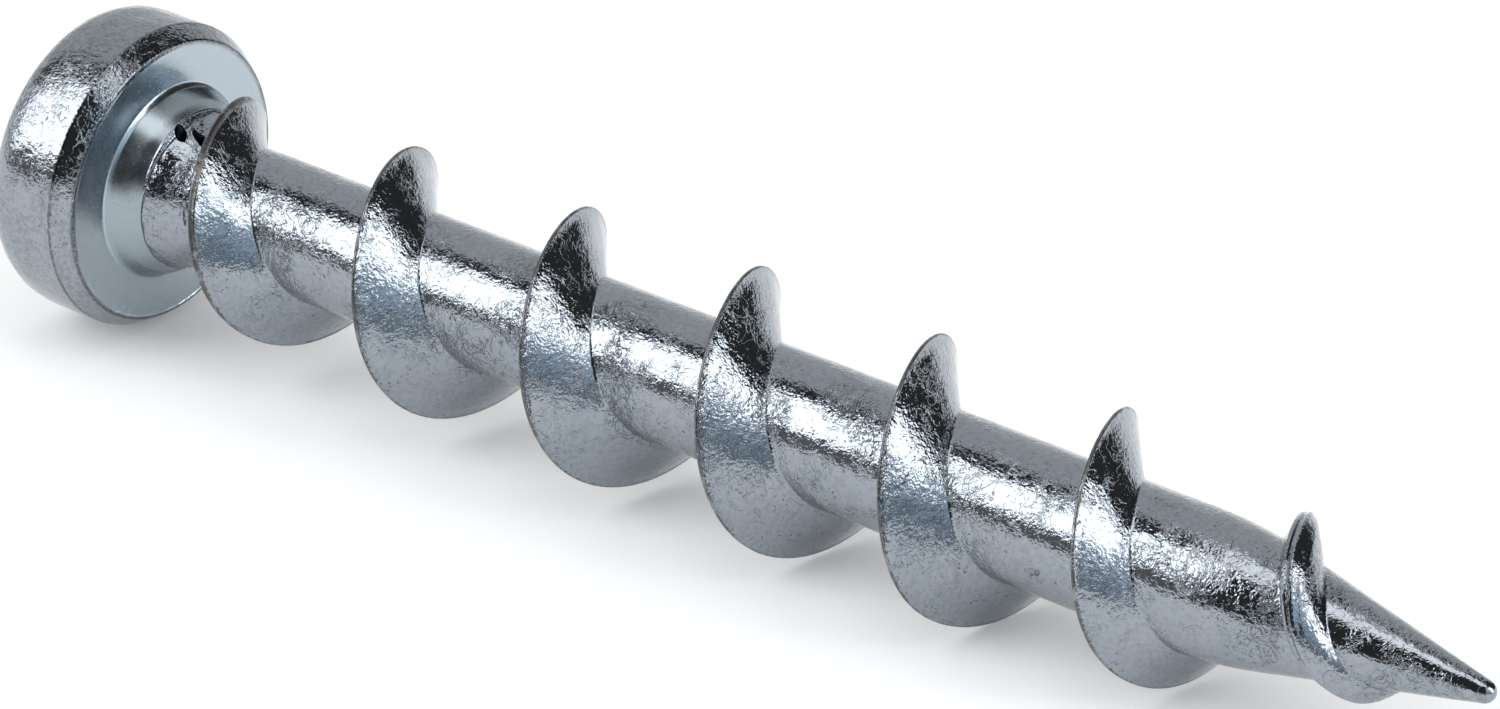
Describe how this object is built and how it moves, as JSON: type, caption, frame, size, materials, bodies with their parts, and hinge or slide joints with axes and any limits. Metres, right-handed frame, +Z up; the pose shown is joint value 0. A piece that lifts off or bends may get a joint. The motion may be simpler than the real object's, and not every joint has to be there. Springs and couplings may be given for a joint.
{
  "type": "self-drilling drywall anchor",
  "caption": "One-piece steel self-drilling wallboard anchor: thick round head with a cross recess, deep coarse auger thread on a thin shank, long blunt-ended point, bright zinc plating.",
  "frame": {"origin": "on the surface that the anchor lies on, under the middle of its bounding box", "axes": "+X along the anchor from the head to the tip, +Z up. The anchor lies on the rim of its head and on its thread, so its own axis points about two degrees below +X."},
  "size_m": [0.0414, 0.008, 0.008],
  "materials": {
    "zinc_plate": "bright zinc plating with a slight blue tint, fine orange-peel grain"
  },
  "bodies": {
    "root": {"anchor": "zinc_plate"}
  },
  "joints": []
}
